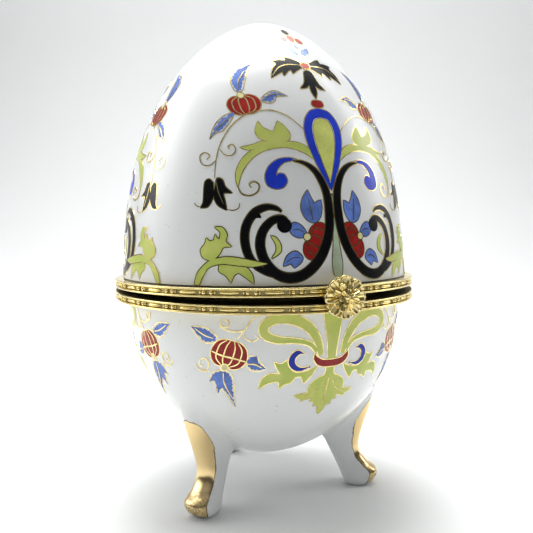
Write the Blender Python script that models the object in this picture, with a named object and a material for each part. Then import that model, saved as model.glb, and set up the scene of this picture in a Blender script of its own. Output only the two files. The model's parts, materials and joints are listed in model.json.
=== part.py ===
"""Porcelain trinket box: an egg on three feet, hinged at two gilt brass rims, with a flower clasp.

Metres, +Z up. The egg's axis is the Z axis, the clasp faces -Y and the hinge is at +Y. The lid rests
a little ajar on its catch, so all the lid's pieces hang from an empty on the hinge axis.
"""

import math

import bmesh
import bpy
from mathutils import Matrix, Vector

MM = 0.001

# Porcelain, in millimetres. The lid's heights are those of a level lid.
BOWL_RADIUS = 36.25
BOWL_DEPTH = 44.9
BOWL_BOTTOM_Z = 9.0
BOWL_POWERS = (2.47, 1.549)
LID_RADIUS = 37.82
LID_HEIGHT = 66.8
LID_POWERS = (2.77, 1.657)
LID_TAPER = 0.082
WALL = 3.0

# Metal rims.
RIM_RADIUS = 40.0
RIM_HEIGHT = 2.1
RIM_GAP = 0.4
RIM_SHEET = 0.6
EDGE_WIRE = 0.25
CHANNEL_HEIGHT = 3.0
NECK_RISE = 2.4
LID_AJAR_DEG = 0.95

# Hinge.
KNUCKLE_RADIUS = 1.35
KNUCKLE_LENGTH = 4.0
PIN_RADIUS = 0.6
PIN_FIT = 0.05
LEAF_THICKNESS = 0.8
STRAP_FIT = 0.1

# Clasp.
ROSETTE_RADIUS = 4.9
ROSETTE_THICKNESS = 1.5
ROSETTE_LOBES = 8
RIVET_RADIUS = 0.45
RIVET_FIT = 0.1
TONGUE_WIDTH = 2.6
TONGUE_SHEET = 0.45
NIB_DEPTH = 0.6
KEEPER_HEIGHT = 0.9

# Feet: (height, inner radius, outer radius, half width) of each level of the cabriole leg.
FOOT_AZIMUTHS = {"foot_left": -60.0, "foot_right": 60.0, "foot_rear": 180.0}
FOOT_LEANS = {"foot_left": -4.0, "foot_right": 4.0, "foot_rear": 0.0}
FOOT_LEVELS = (
    (0.0, 23.4, 28.3, 2.4),
    (0.5, 22.5, 29.3, 3.0),
    (1.5, 21.9, 30.4, 3.5),
    (3.0, 21.3, 31.3, 3.7),
    (4.4, 20.7, 31.0, 3.6),
    (6.2, 19.8, 28.8, 3.3),
    (8.4, 18.7, 26.9, 3.1),
    (11.0, 17.4, 26.3, 3.15),
    (14.0, 15.8, 26.8, 3.45),
    (17.5, 14.2, 27.9, 3.8),
    (21.0, 13.0, 29.1, 4.1),
    (25.0, 12.0, 30.1, 4.2),
    (29.0, 12.0, 31.1, 3.9),
    (32.0, 14.0, 31.7, 3.2),
)

GAP = 0.3
TURNS = 60

# Worked out from the sizes above.
BOWL_RIM_Z = BOWL_BOTTOM_Z + BOWL_DEPTH
LOWER_RIM_TOP = BOWL_RIM_Z + GAP + RIM_SHEET + GAP + 0.8
LOWER_RIM_BOTTOM = LOWER_RIM_TOP - RIM_HEIGHT
UPPER_RIM_BOTTOM = LOWER_RIM_TOP + RIM_GAP
UPPER_RIM_TOP = UPPER_RIM_BOTTOM + RIM_HEIGHT
LID_RIM_Z = UPPER_RIM_BOTTOM + RIM_SHEET + 3 * GAP
HINGE_Y = RIM_RADIUS + GAP + KNUCKLE_RADIUS
HINGE_Z = LOWER_RIM_TOP + RIM_GAP / 2
LID_AJAR_DROP = (HINGE_Y + RIM_RADIUS) * math.sin(math.radians(LID_AJAR_DEG))
NECK_RADIUS = min(BOWL_RADIUS, LID_RADIUS - RIM_SHEET - 2 * GAP) - WALL - GAP

GILT = ("gilt_brass", (0.83, 0.60, 0.22), 0.22, 1.0)
PORCELAIN = ("porcelain", (0.90, 0.91, 0.92), 0.12, 0.0)
CEMENT = ("cement", (0.80, 0.78, 0.72), 0.85, 0.0)
WIRE = ("pin_brass", (0.70, 0.58, 0.34), 0.35, 1.0)


def clear_scene():
    for obj in list(bpy.data.objects):
        bpy.data.objects.remove(obj, do_unlink=True)


def material(finish):
    name, colour, roughness, metallic = finish
    found = bpy.data.materials.get(name)
    if found:
        return found
    made = bpy.data.materials.new(name)
    made.use_nodes = True
    shader = made.node_tree.nodes["Principled BSDF"]
    shader.inputs["Base Color"].default_value = (*colour, 1.0)
    shader.inputs["Roughness"].default_value = roughness
    shader.inputs["Metallic"].default_value = metallic
    made.diffuse_color = (*colour, 1.0)
    return made


def finish_object(name, bm, finish, lid_axis=None, smooth=True):
    """Makes the object from a mesh in millimetres; a piece of the lid hangs from the hinge axis."""
    bmesh.ops.recalc_face_normals(bm, faces=bm.faces)
    bmesh.ops.scale(bm, vec=(MM, MM, MM), verts=bm.verts)
    mesh = bpy.data.meshes.new(name)
    if lid_axis:
        bmesh.ops.translate(bm, vec=-Vector((0, HINGE_Y, HINGE_Z)) * MM, verts=bm.verts)
    bm.to_mesh(mesh)
    bm.free()
    mesh.materials.append(material(finish))
    if smooth:
        mesh.shade_smooth()
        mesh.set_sharp_from_angle(angle=math.radians(35))
    obj = bpy.data.objects.new(name, mesh)
    bpy.context.scene.collection.objects.link(obj)
    if lid_axis:
        obj.parent = lid_axis
    return obj


def cut(obj, name, bm, lid_axis=None):
    """Cuts a hidden shape, in millimetres, out of an object."""
    cutter = finish_object(name, bm, CEMENT, lid_axis, smooth=False)
    cutter.hide_render = True
    cutter.display_type = "WIRE"
    modifier = obj.modifiers.new(name, "BOOLEAN")
    modifier.operation = "DIFFERENCE"
    modifier.solver = "EXACT"
    modifier.object = cutter


def join(obj, name, bm, lid_axis=None):
    """Unites a second shape, in millimetres, with an object."""
    cut(obj, name, bm, lid_axis)
    obj.modifiers[name].operation = "UNION"


def turned(profile, turns=TURNS):
    """A closed body turned about Z from (radius, z) points; points on the axis become poles."""
    bm = bmesh.new()
    verts = [bm.verts.new((radius, 0, z)) for radius, z in profile]
    on_axis = profile[0][0] == 0 and profile[-1][0] == 0
    ends = verts[1:] if on_axis else verts[1:] + verts[:1]
    edges = [bm.edges.new(pair) for pair in zip(verts, ends)]
    bmesh.ops.spin(
        bm, geom=verts + edges, cent=(0, 0, 0), axis=(0, 0, 1),
        angle=2 * math.pi, steps=turns, use_merge=True,
    )
    bmesh.ops.remove_doubles(bm, verts=bm.verts, dist=1e-5)
    return bm


def cylinder(radius, start, end, segments=16):
    """A solid cylinder between two points."""
    start, end = Vector(start), Vector(end)
    along = end - start
    place = Matrix.Translation((start + end) / 2) @ along.to_track_quat("Z", "Y").to_matrix().to_4x4()
    bm = bmesh.new()
    bmesh.ops.create_cone(
        bm, cap_ends=True, segments=segments, radius1=radius, radius2=radius,
        depth=along.length, matrix=place,
    )
    return bm


def prism(outline, half_width):
    """A (y, z) outline drawn out along X to half_width each way."""
    bm = bmesh.new()
    face = bm.faces.new([bm.verts.new((-half_width, y, z)) for y, z in outline])
    out = bmesh.ops.extrude_face_region(bm, geom=[face])
    moved = [item for item in out["geom"] if isinstance(item, bmesh.types.BMVert)]
    bmesh.ops.translate(bm, vec=(2 * half_width, 0, 0), verts=moved)
    return bm


def bowl_radius(z, inset=0.0):
    """The bowl's radius at a height, on its outer face or a wall further in."""
    low = BOWL_BOTTOM_Z + inset
    t = (BOWL_RIM_Z - z) / (BOWL_RIM_Z - low)
    rise, power = BOWL_POWERS
    return (BOWL_RADIUS - inset) * max(0.0, 1 - t**rise) ** (1 / power)


def lid_radius(z, inset=0.0):
    """The level lid's radius at a height, on its outer face or a wall further in."""
    t = (z - LID_RIM_Z) / (LID_HEIGHT - inset)
    rise, power = LID_POWERS
    return (LID_RADIUS - inset) * max(0.0, 1 - t**rise) ** (1 / power) * (1 - LID_TAPER * t)


def curve_points(radius_at, start, end, inset=0.0, count=12):
    """Points on an egg's face from its rim (start) to its pole (end), close together at the pole."""
    points = []
    for step in range(count):
        z = start + (end - start) * math.sin(math.pi / 2 * step / count)
        points.append((radius_at(z, inset), z))
    return points + [(0.0, end)]


def base_bowl():
    outside = curve_points(bowl_radius, BOWL_RIM_Z, BOWL_BOTTOM_Z)
    inside = curve_points(bowl_radius, BOWL_RIM_Z, BOWL_BOTTOM_Z + WALL, WALL)
    finish_object("base_bowl", turned(outside[::-1] + inside), PORCELAIN)


def lid_shell(lid_axis):
    top = LID_RIM_Z + LID_HEIGHT
    outside = curve_points(lid_radius, LID_RIM_Z, top)
    inside = curve_points(lid_radius, LID_RIM_Z, top - WALL, WALL)
    finish_object("lid_shell", turned(outside[::-1] + inside), PORCELAIN, lid_axis)


def foot_section(level):
    """Sixteen corners of a level of the leg: a rounded oblong, radial along -Y."""
    z, inner, outer, half = level
    middle, reach = (inner + outer) / 2, (outer - inner) / 2
    corners = []
    for step in range(16):
        angle = 2 * math.pi * step / 16
        across = math.copysign(abs(math.sin(angle)) ** 0.7, math.sin(angle))
        along = math.copysign(abs(math.cos(angle)) ** 0.7, math.cos(angle))
        corners.append((half * across, -(middle + reach * along), z))
    return corners


def foot(name, azimuth, lean):
    """A leg lofted level by level, leaning sideways, fitted under the bowl with a hairline gap."""
    bm = bmesh.new()
    rings = [[bm.verts.new(corner) for corner in foot_section(level)] for level in FOOT_LEVELS]
    for low, high in zip(rings, rings[1:]):
        for step in range(16):
            after = (step + 1) % 16
            bm.faces.new((low[step], low[after], high[after], high[step]))
    bm.faces.new(rings[0][::-1])
    bm.faces.new(rings[-1])
    for vert in bm.verts:
        vert.co.x += vert.co.z * math.tan(math.radians(lean))
    turn = Matrix.Rotation(math.radians(azimuth), 4, "Z")
    bmesh.ops.transform(bm, matrix=turn, verts=bm.verts)
    leg = finish_object(name, bm, PORCELAIN)
    seat = curve_points(bowl_radius, BOWL_RIM_Z, BOWL_BOTTOM_Z - GAP, -GAP)
    profile = [(0.0, BOWL_RIM_Z)] + seat
    cut(leg, name + "_seat", turned(profile))


def rim_outline(bottom, top):
    """The outer face of a rim from bottom to top: two edge wires with a hollow band between."""
    band = RIM_RADIUS - EDGE_WIRE
    return [
        (RIM_RADIUS - 0.15, bottom), (RIM_RADIUS, bottom + 0.15), (RIM_RADIUS, bottom + 0.4),
        (band, bottom + 0.55), (band, top - 0.55), (RIM_RADIUS, top - 0.4),
        (RIM_RADIUS, top - 0.15), (RIM_RADIUS - 0.15, top),
    ]


def lower_bezel():
    """A rim round the bowl's edge, its top sheet over the edge, and a neck that guides the lid."""
    sheet = LOWER_RIM_TOP - RIM_SHEET
    inner = BOWL_RADIUS + GAP
    profile = rim_outline(LOWER_RIM_BOTTOM, LOWER_RIM_TOP) + [
        (NECK_RADIUS, LOWER_RIM_TOP), (NECK_RADIUS, LOWER_RIM_TOP + NECK_RISE),
        (NECK_RADIUS - RIM_SHEET, LOWER_RIM_TOP + NECK_RISE),
        (NECK_RADIUS - RIM_SHEET, LOWER_RIM_TOP - CHANNEL_HEIGHT),
        (NECK_RADIUS, LOWER_RIM_TOP - CHANNEL_HEIGHT), (NECK_RADIUS, sheet),
        (inner, sheet), (inner, LOWER_RIM_BOTTOM),
    ]
    finish_object("lower_bezel", turned(profile), GILT)


def upper_bezel(lid_axis):
    """A channel that holds the lid's edge, drilled at the front for the clasp's rivet."""
    sheet = UPPER_RIM_BOTTOM + RIM_SHEET
    outer = LID_RADIUS + GAP
    inner = LID_RADIUS - WALL - GAP
    profile = rim_outline(UPPER_RIM_BOTTOM, UPPER_RIM_TOP) + [
        (outer, UPPER_RIM_TOP), (outer, sheet), (inner, sheet),
        (inner, UPPER_RIM_BOTTOM + CHANNEL_HEIGHT),
        (inner - RIM_SHEET, UPPER_RIM_BOTTOM + CHANNEL_HEIGHT),
        (inner - RIM_SHEET, UPPER_RIM_BOTTOM),
    ]
    ring = finish_object("upper_bezel", turned(profile), GILT, lid_axis)
    cut(ring, "rivet_hole", rivet_path(RIVET_RADIUS + RIVET_FIT, 3.0, 3.0), lid_axis)


def cement_beds(lid_axis):
    """The thin beds that fix each porcelain edge in its rim."""
    bowl_bed = LOWER_RIM_TOP - RIM_SHEET - GAP
    lid_bed = UPPER_RIM_BOTTOM + RIM_SHEET + GAP
    bowl = [
        (BOWL_RADIUS - WALL + 0.2, BOWL_RIM_Z + GAP), (BOWL_RADIUS - 0.2, BOWL_RIM_Z + GAP),
        (BOWL_RADIUS - 0.2, bowl_bed), (BOWL_RADIUS - WALL + 0.2, bowl_bed),
    ]
    lid = [
        (LID_RADIUS - WALL + 0.2, lid_bed), (LID_RADIUS - 0.2, lid_bed),
        (LID_RADIUS - 0.2, LID_RIM_Z - GAP), (LID_RADIUS - WALL + 0.2, LID_RIM_Z - GAP),
    ]
    finish_object("lower_cement_bed", turned(bowl), CEMENT)
    finish_object("upper_cement_bed", turned(lid), CEMENT, lid_axis)


def knuckle(centre):
    half = KNUCKLE_LENGTH / 2 - PIN_FIT
    return cylinder(KNUCKLE_RADIUS, (centre - half, HINGE_Y, HINGE_Z), (centre + half, HINGE_Y, HINGE_Z), 24)


def leaf_plate(centre, low, high, half):
    """A strip soldered to the rim behind the knuckle."""
    back = RIM_RADIUS + GAP
    outline = [(back, low), (back + LEAF_THICKNESS, low), (back + LEAF_THICKNESS, high), (back, high)]
    bm = prism(outline, half)
    bmesh.ops.translate(bm, vec=(centre, 0, 0), verts=bm.verts)
    return bm


def hinge(lid_axis):
    """Two knuckles on the base, one between them on the lid, and the pin through all three.

    Each leaf is soldered to its rim by a strap that stops short of the other leaf's knuckles.
    """
    bore = 1.5 * KNUCKLE_LENGTH + 1.0
    half = KNUCKLE_LENGTH / 2 - PIN_FIT
    beside = max(KNUCKLE_RADIUS - LEAF_THICKNESS, 0.0)
    clear = math.sqrt((KNUCKLE_RADIUS + STRAP_FIT) ** 2 - beside**2)
    low_plate = (LOWER_RIM_BOTTOM + 0.1, HINGE_Z)
    high_plate = (HINGE_Z, UPPER_RIM_TOP - 0.1)
    lower = finish_object("hinge_lower_leaf", knuckle(-KNUCKLE_LENGTH), GILT)
    join(lower, "second_knuckle", knuckle(KNUCKLE_LENGTH))
    for side in (-1, 1):
        plate = leaf_plate(side * KNUCKLE_LENGTH, *low_plate, half)
        join(lower, f"lower_plate_{side + 1}", plate)
    strap = leaf_plate(0, low_plate[0], HINGE_Z - clear, KNUCKLE_LENGTH + half)
    join(lower, "lower_strap", strap)
    upper = finish_object("hinge_upper_leaf", knuckle(0), GILT, lid_axis)
    join(upper, "upper_plate", leaf_plate(0, *high_plate, half), lid_axis)
    strap = leaf_plate(0, HINGE_Z + clear, high_plate[1], KNUCKLE_LENGTH + half)
    join(upper, "upper_strap", strap, lid_axis)
    hole = PIN_RADIUS + PIN_FIT
    ends = ((-bore, HINGE_Y, HINGE_Z), (bore, HINGE_Y, HINGE_Z))
    cut(lower, "lower_bore", cylinder(hole, *ends, 24))
    cut(upper, "upper_bore", cylinder(hole, *ends, 24), lid_axis)
    pin_end = 1.5 * KNUCKLE_LENGTH
    pin = cylinder(PIN_RADIUS, (-pin_end, HINGE_Y, HINGE_Z), (pin_end, HINGE_Y, HINGE_Z), 24)
    finish_object("hinge_pin", pin, WIRE)


def rivet_path(radius, inward, outward):
    """A cylinder along Y through the rim's front, at the clasp's height."""
    z = UPPER_RIM_BOTTOM + RIM_HEIGHT / 2
    return cylinder(radius, (0, -RIM_RADIUS + inward, z), (0, -RIM_RADIUS - outward, z))


def clasp_tongue(lid_axis):
    """A springy strip down the front of both rims, with a nib that rests on the keeper."""
    inside = -(RIM_RADIUS + GAP + NIB_DEPTH)
    outside = inside - TONGUE_SHEET
    nib = LOWER_RIM_BOTTOM + KEEPER_HEIGHT + GAP
    outline = [
        (inside, UPPER_RIM_TOP), (outside, UPPER_RIM_TOP), (outside, nib),
        (inside + NIB_DEPTH - 0.05, nib), (inside + NIB_DEPTH - 0.05, nib + 0.25), (inside, nib + 0.6),
    ]
    strip = finish_object("clasp_tongue", prism(outline, TONGUE_WIDTH / 2), GILT, lid_axis)
    cut(strip, "tongue_hole", rivet_path(RIVET_RADIUS + RIVET_FIT, 0.0, 3.0), lid_axis)


def catch_keeper():
    """A half-round stop on the lower rim that the tongue's nib lands on."""
    back = -(RIM_RADIUS + GAP)
    low = LOWER_RIM_BOTTOM + LID_AJAR_DROP
    top = low + KEEPER_HEIGHT
    outline = [
        (back, low), (back - 0.5, low + 0.1), (back - 0.65, (low + top) / 2),
        (back - 0.5, top - 0.1), (back, top),
    ]
    finish_object("catch_keeper", prism(outline, TONGUE_WIDTH / 2 + 0.4), GILT)


def clasp_rivet(lid_axis):
    depth = GAP + NIB_DEPTH + TONGUE_SHEET + GAP + 0.4
    finish_object("clasp_rivet", rivet_path(RIVET_RADIUS, 1.2, depth), WIRE, lid_axis)


def rosette_height(reach, angle):
    """How far the flower stands out: an outer ring of petals, an inner ring and a raised eye."""
    petals = 0.5 + 0.5 * math.cos(ROSETTE_LOBES * angle)
    if reach < 0.3:
        return 1.0 - 1.2 * reach * reach
    if reach < 0.65:
        return 0.72 + 0.16 * petals
    return 0.4 + 0.25 * petals * (1.3 - reach)


def clasp_rosette(lid_axis):
    """A cast flower with a lobed edge, its back flat and drilled for the rivet."""
    bm = bmesh.new()
    steps = 6 * ROSETTE_LOBES
    back = -(RIM_RADIUS + GAP + NIB_DEPTH + TONGUE_SHEET + GAP)
    middle = UPPER_RIM_BOTTOM + RIM_HEIGHT / 2 - 0.9
    rings = []
    for reach, raised in ((1.0, False), (1.0, True), (0.85, True), (0.62, True), (0.42, True), (0.2, True)):
        ring = []
        for step in range(steps):
            angle = 2 * math.pi * step / steps
            radius = ROSETTE_RADIUS * reach * (1 - 0.09 * reach * (1 - math.cos(ROSETTE_LOBES * angle)))
            y = back - (ROSETTE_THICKNESS * rosette_height(reach, angle) if raised else 0)
            ring.append(bm.verts.new((radius * math.sin(angle), y, middle + radius * math.cos(angle))))
        rings.append(ring)
    for outer, inner in zip(rings, rings[1:]):
        for step in range(steps):
            after = (step + 1) % steps
            bm.faces.new((outer[step], outer[after], inner[after], inner[step]))
    bm.faces.new(rings[0])
    eye = bm.verts.new((0, back - ROSETTE_THICKNESS, middle))
    for step in range(steps):
        bm.faces.new((rings[-1][step], rings[-1][(step + 1) % steps], eye))
    flower = finish_object("clasp_rosette", bm, GILT, lid_axis)
    socket = GAP + NIB_DEPTH + TONGUE_SHEET + GAP + 0.7
    cut(flower, "rosette_socket", rivet_path(RIVET_RADIUS + RIVET_FIT, 0.0, socket), lid_axis)


def main():
    clear_scene()
    lid_axis = bpy.data.objects.new("lid_hinge_axis", None)
    bpy.context.scene.collection.objects.link(lid_axis)
    lid_axis.location = (0, HINGE_Y * MM, HINGE_Z * MM)
    lid_axis.rotation_euler = (-math.radians(LID_AJAR_DEG), 0, 0)
    base_bowl()
    for name, azimuth in FOOT_AZIMUTHS.items():
        foot(name, azimuth, FOOT_LEANS[name])
    lower_bezel()
    cement_beds(lid_axis)
    lid_shell(lid_axis)
    upper_bezel(lid_axis)
    hinge(lid_axis)
    clasp_tongue(lid_axis)
    catch_keeper()
    clasp_rivet(lid_axis)
    clasp_rosette(lid_axis)


main()
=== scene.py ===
import json
import math

import bmesh
import bpy
from bpy.props import FloatProperty, FloatVectorProperty, PointerProperty
from mathutils import Matrix, Vector
from mathutils.geometry import interpolate_bezier


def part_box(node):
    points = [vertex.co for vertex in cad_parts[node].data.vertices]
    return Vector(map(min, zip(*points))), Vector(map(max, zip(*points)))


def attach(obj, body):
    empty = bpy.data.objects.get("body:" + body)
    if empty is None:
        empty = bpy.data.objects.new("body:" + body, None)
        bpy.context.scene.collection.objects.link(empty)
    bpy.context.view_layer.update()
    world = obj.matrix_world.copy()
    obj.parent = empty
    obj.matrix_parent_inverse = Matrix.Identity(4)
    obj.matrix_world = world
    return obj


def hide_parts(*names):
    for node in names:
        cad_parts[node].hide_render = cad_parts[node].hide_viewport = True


bl_info = {
    "name": "Porcelain Trinket Box",
    "version": (1, 0, 0),
    "blender": (4, 5, 0),
    "location": "3D View > Sidebar > Trinket Box",
    "description": "Builds a painted porcelain egg box with gilt rims around its fixed frame",
    "category": "Object",
}

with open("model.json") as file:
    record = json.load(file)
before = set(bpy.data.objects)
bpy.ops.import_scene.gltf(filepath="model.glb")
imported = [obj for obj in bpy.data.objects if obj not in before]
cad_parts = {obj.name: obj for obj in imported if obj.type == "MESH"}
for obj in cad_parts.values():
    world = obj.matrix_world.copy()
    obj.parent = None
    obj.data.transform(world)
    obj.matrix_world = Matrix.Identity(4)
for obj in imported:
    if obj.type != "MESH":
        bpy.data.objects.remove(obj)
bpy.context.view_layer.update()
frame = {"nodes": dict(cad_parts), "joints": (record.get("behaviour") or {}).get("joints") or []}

MM = 0.001
HINGE = Vector(frame["joints"][0]["pos_m"])
RIM_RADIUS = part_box("lower_bezel")[1][0] / MM
LOWER_RIM_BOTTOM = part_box("lower_bezel")[0][2] / MM
BOWL_RIM_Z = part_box("base_bowl")[1][2] / MM
BOWL_BOTTOM_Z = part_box("base_bowl")[0][2] / MM
BOWL_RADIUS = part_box("base_bowl")[1][0] / MM


class TrinketBoxSizes(bpy.types.PropertyGroup):
    """Sizes that a user may change, in millimetres unless their name says otherwise"""

    lid_ajar: FloatProperty(
        name="Lid ajar", description="How far the lid stands open on its catch",
        default=math.radians(0.95), subtype="ANGLE",
    )
    line_width: FloatProperty(
        name="Gold line", description="Width of the gold lines round the painted shapes, mm",
        default=0.24,
    )
    enamel_height: FloatProperty(
        name="Enamel height", description="How far the painted enamel stands off the glaze, mm",
        default=0.07,
    )
    foot_fillet: FloatProperty(
        name="Foot fillet", description="Radius of the soft joint between bowl and feet, mm",
        default=3.2,
    )


def colour_property(name, description, default):
    return FloatVectorProperty(
        name=name, description=description, default=default, subtype="COLOR", size=3, min=0.0, max=1.0
    )


class TrinketBoxColours(bpy.types.PropertyGroup):
    """Colours of the glaze, the enamels and the gilding"""

    glaze: colour_property("Glaze", "White glaze of the porcelain", (0.80, 0.81, 0.80))
    black: colour_property("Black", "Enamel of the large scrolls", (0.003, 0.003, 0.004))
    royal: colour_property("Royal blue", "Enamel of the teardrop and commas", (0.014, 0.046, 0.58))
    leaf: colour_property("Leaf green", "Enamel of the curling leaves", (0.49, 0.58, 0.12))
    tip: colour_property("Pale green", "Leaf tips and the teardrop's heart", (0.60, 0.64, 0.17))
    sage: colour_property("Sage", "Enamel of the stem under the teardrop", (0.43, 0.52, 0.38))
    red: colour_property("Red", "Enamel of the ribbed fruits", (0.31, 0.016, 0.014))
    cornflower: colour_property("Cornflower", "Enamel of the fruits' leaves", (0.12, 0.21, 0.58))
    pink: colour_property("Pink", "Enamel of the crown's small flowers", (0.62, 0.13, 0.10))
    pale: colour_property("Pale blue", "Enamel of the crown's small leaves", (0.24, 0.36, 0.78))
    cream: colour_property("Cream", "Enamel of the fruits' eyes", (0.78, 0.70, 0.36))
    gold: colour_property("Gold", "Gilt brass and gold lines", (0.87, 0.72, 0.33))
    lustre: colour_property("Lustre", "Gold lustre of the feet", (0.78, 0.59, 0.30))


def sizes():
    return bpy.context.scene.trinket_sizes


def colours():
    return bpy.context.scene.trinket_colours


# Materials -------------------------------------------------------------------------------------


class Sock:
    """A shader socket that can be used in Python arithmetic; each sum adds its Math node"""

    def __init__(self, shader, socket):
        self.shader = shader
        self.socket = socket

    def math(self, operation, *others):
        return self.shader.node("ShaderNodeMath", {"operation": operation}, *others)

    def __add__(self, other):
        return self.math("ADD", self, other)

    def __radd__(self, other):
        return self.math("ADD", other, self)

    def __sub__(self, other):
        return self.math("SUBTRACT", self, other)

    def __rsub__(self, other):
        return self.math("SUBTRACT", other, self)

    def __mul__(self, other):
        return self.math("MULTIPLY", self, other)

    def __rmul__(self, other):
        return self.math("MULTIPLY", other, self)

    def above(self, limit, soft):
        """0 below limit, 1 above it, with a soft step between"""
        return self.shader.node(
            "ShaderNodeMapRange", {"interpolation_type": "SMOOTHSTEP"},
            self, limit - soft, limit + soft, 0.0, 1.0,
        )


class Shader:
    """A material with one Principled surface, made from Python expressions"""

    def __init__(self, name, **fixed):
        self.material = bpy.data.materials.new(name)
        self.material.use_nodes = True
        self.tree = self.material.node_tree
        self.surface = self.tree.nodes["Principled BSDF"]
        for socket, value in fixed.items():
            self.put(socket.replace("_", " ").title().replace("Ior", "IOR"), value)

    def feed(self, target, value):
        if isinstance(value, Sock):
            self.tree.links.new(value.socket, target)
        elif target.type == "RGBA":
            target.default_value = (*value, 1.0)
        else:
            target.default_value = value

    def put(self, socket, value):
        self.feed(self.surface.inputs[socket], value)

    def node(self, kind, settings=None, *values, output=0, **named):
        made = self.tree.nodes.new(kind)
        for key, value in (settings or {}).items():
            setattr(made, key, value)
        for key, value in list(enumerate(values)) + list(named.items()):
            socket = key if isinstance(key, int) else key.replace("_", " ").title()
            self.feed(made.inputs[socket], value)
        return Sock(self, made.outputs[output])

    def coordinates(self):
        return self.node("ShaderNodeTexCoord", output="Object")

    def attribute(self, name):
        return self.node("ShaderNodeAttribute", {"attribute_name": name}, output="Fac")

    def noise(self, per_mm, detail=2.0, rough=0.5):
        """Noise with about this many features per millimetre"""
        return self.node(
            "ShaderNodeTexNoise", {},
            vector=self.coordinates(), scale=per_mm / MM, detail=detail, roughness=rough,
        )

    def mix(self, factor, first, second):
        made = self.tree.nodes.new("ShaderNodeMix")
        made.data_type = "RGBA"
        for socket, value in ((0, factor), (6, first), (7, second)):
            self.feed(made.inputs[socket], value)
        return Sock(self, made.outputs[2])

    def bump(self, height, depth_mm, strength=1.0):
        distance = depth_mm * MM
        made = self.node("ShaderNodeBump", {}, strength=strength, distance=distance, height=height)
        self.put("Normal", made)


def shade(colour, amount):
    return tuple(max(0.0, min(1.0, part * amount)) for part in colour)


def glaze_material(name):
    """Glossy white glaze: faint clouding, slight waviness and a few pinholes"""
    glaze = colours().glaze
    shader = Shader(name, roughness=0.2, coat_weight=0.15, coat_roughness=0.04, ior=1.5)
    cloud = shader.noise(0.05, 3.0)
    tint = shader.mix(cloud, shade(glaze, 0.985), shade(glaze, 1.015))
    pinhole = shader.noise(1.1, 0.0).above(0.83, 0.02)
    shader.put("Base Color", shader.mix(pinhole * 0.5, tint, shade(glaze, 0.72)))
    shader.put("Roughness", 0.17 + 0.08 * shader.noise(0.12))
    shader.bump(shader.noise(0.09, 1.0), 0.12, 0.35)
    return shader.material


def enamel_material(name, colour, depth=0.22):
    """Fired enamel: thicker and thinner where the brush laid it, with a wet gloss"""
    shader = Shader(name, roughness=0.2, specular_ior_level=0.25)
    wash = shader.noise(0.22, 4.0, 0.6)
    grain = shader.noise(2.2, 2.0)
    tone = (wash * 0.75 + grain * 0.25).above(0.5, 0.28)
    shader.put("Base Color", shader.mix(tone, shade(colour, 1 - depth), shade(colour, 1 + depth)))
    shader.put("Roughness", 0.16 + 0.14 * grain)
    shader.bump(grain, 0.02, 0.4)
    return shader.material


def leaf_material(name, colour, tip):
    """Green enamel that runs from one tone to a yellower one across each leaf"""
    shader = Shader(name, roughness=0.2, specular_ior_level=0.3)
    wash = shader.noise(0.16, 2.0)
    grain = shader.noise(1.8, 3.0)
    tone = (wash * 0.8 + grain * 0.2).above(0.5, 0.14)
    shader.put("Base Color", shader.mix(tone, colour, tip))
    shader.put("Roughness", 0.16 + 0.12 * grain)
    shader.bump(grain, 0.02, 0.5)
    return shader.material


def gilt_material(name, rough, tarnish, depth=1.0):
    """Polished gilt brass: fine scratches, and darker in patches where it has toned"""
    # depth below 1 darkens the whole finish; the rims use it for painted shade in their gap, neck and
    # bead recess
    gold = shade(colours().gold, depth)
    shader = Shader(name, metallic=1.0, roughness=rough)
    patches = shader.noise(0.35, 4.0, 0.6).above(0.58, 0.1)
    shader.put("Base Color", shader.mix(patches * tarnish, gold, shade(gold, 0.55)))
    shader.put("Roughness", rough + 0.12 * shader.noise(1.4, 3.0))
    shader.bump(shader.noise(2.6, 2.0), 0.015, 0.4)
    return shader.material


def gold_line_material():
    """Gold painted in thin lines: burnished, browner where it is thin"""
    gold = colours().gold
    shader = Shader("gold_line_lustre", roughness=0.16, metallic=1.0)
    thin = shader.noise(0.7, 3.0).above(0.56, 0.12)
    shader.put("Base Color", shader.mix(thin * 0.6, gold, (0.42, 0.26, 0.09)))
    return shader.material


def lustre_material(name):
    """Glaze with gold lustre brushed over the front, its edge uneven and browned"""
    glaze = colours().glaze
    gold = colours().lustre
    shader = Shader(name, roughness=0.1, coat_roughness=0.03)
    nicks = shader.noise(0.45, 3.0, 0.6) - 0.5
    edge = shader.attribute("lustre") + nicks * 0.9
    gilt = edge.above(0.0, 0.05)
    toe = 1 - shader.attribute("height").above(6.2, 0.8)
    worn = shader.noise(1.5, 4.0).above(0.5, 0.16) * toe
    brown = edge.above(-0.12, 0.04) * (1 - edge.above(0.12, 0.05))
    tint = shader.mix(worn, gold, shade(gold, 0.6))
    body = shader.mix(gilt, glaze, tint)
    shader.put("Base Color", shader.mix(brown * 0.8, body, (0.16, 0.08, 0.03)))
    shader.put("Metallic", gilt)
    shader.put("Roughness", 0.09 + gilt * (0.12 + 0.16 * worn))
    shader.bump(edge.above(0.0, 0.1) + worn * gilt * 0.5, 0.05, 0.5)
    return shader.material


def cement_material():
    shader = Shader("plaster_cement", roughness=0.9)
    grit = shader.noise(1.5, 5.0, 0.7)
    shader.put("Base Color", shader.mix(grit, (0.52, 0.49, 0.42), (0.72, 0.69, 0.62)))
    shader.bump(grit, 0.1)
    return shader.material


def backdrop_material():
    shader = Shader("paper_backdrop", roughness=0.75)
    fibre = shader.noise(0.02, 4.0)
    shader.put("Base Color", shader.mix(fibre, (0.72, 0.73, 0.73), (0.74, 0.75, 0.75)))
    return shader.material


# Shapes ----------------------------------------------------------------------------------------


def add_to_scene(name, data):
    made = bpy.data.objects.new(name, data)
    bpy.context.scene.collection.objects.link(made)
    return made


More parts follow.
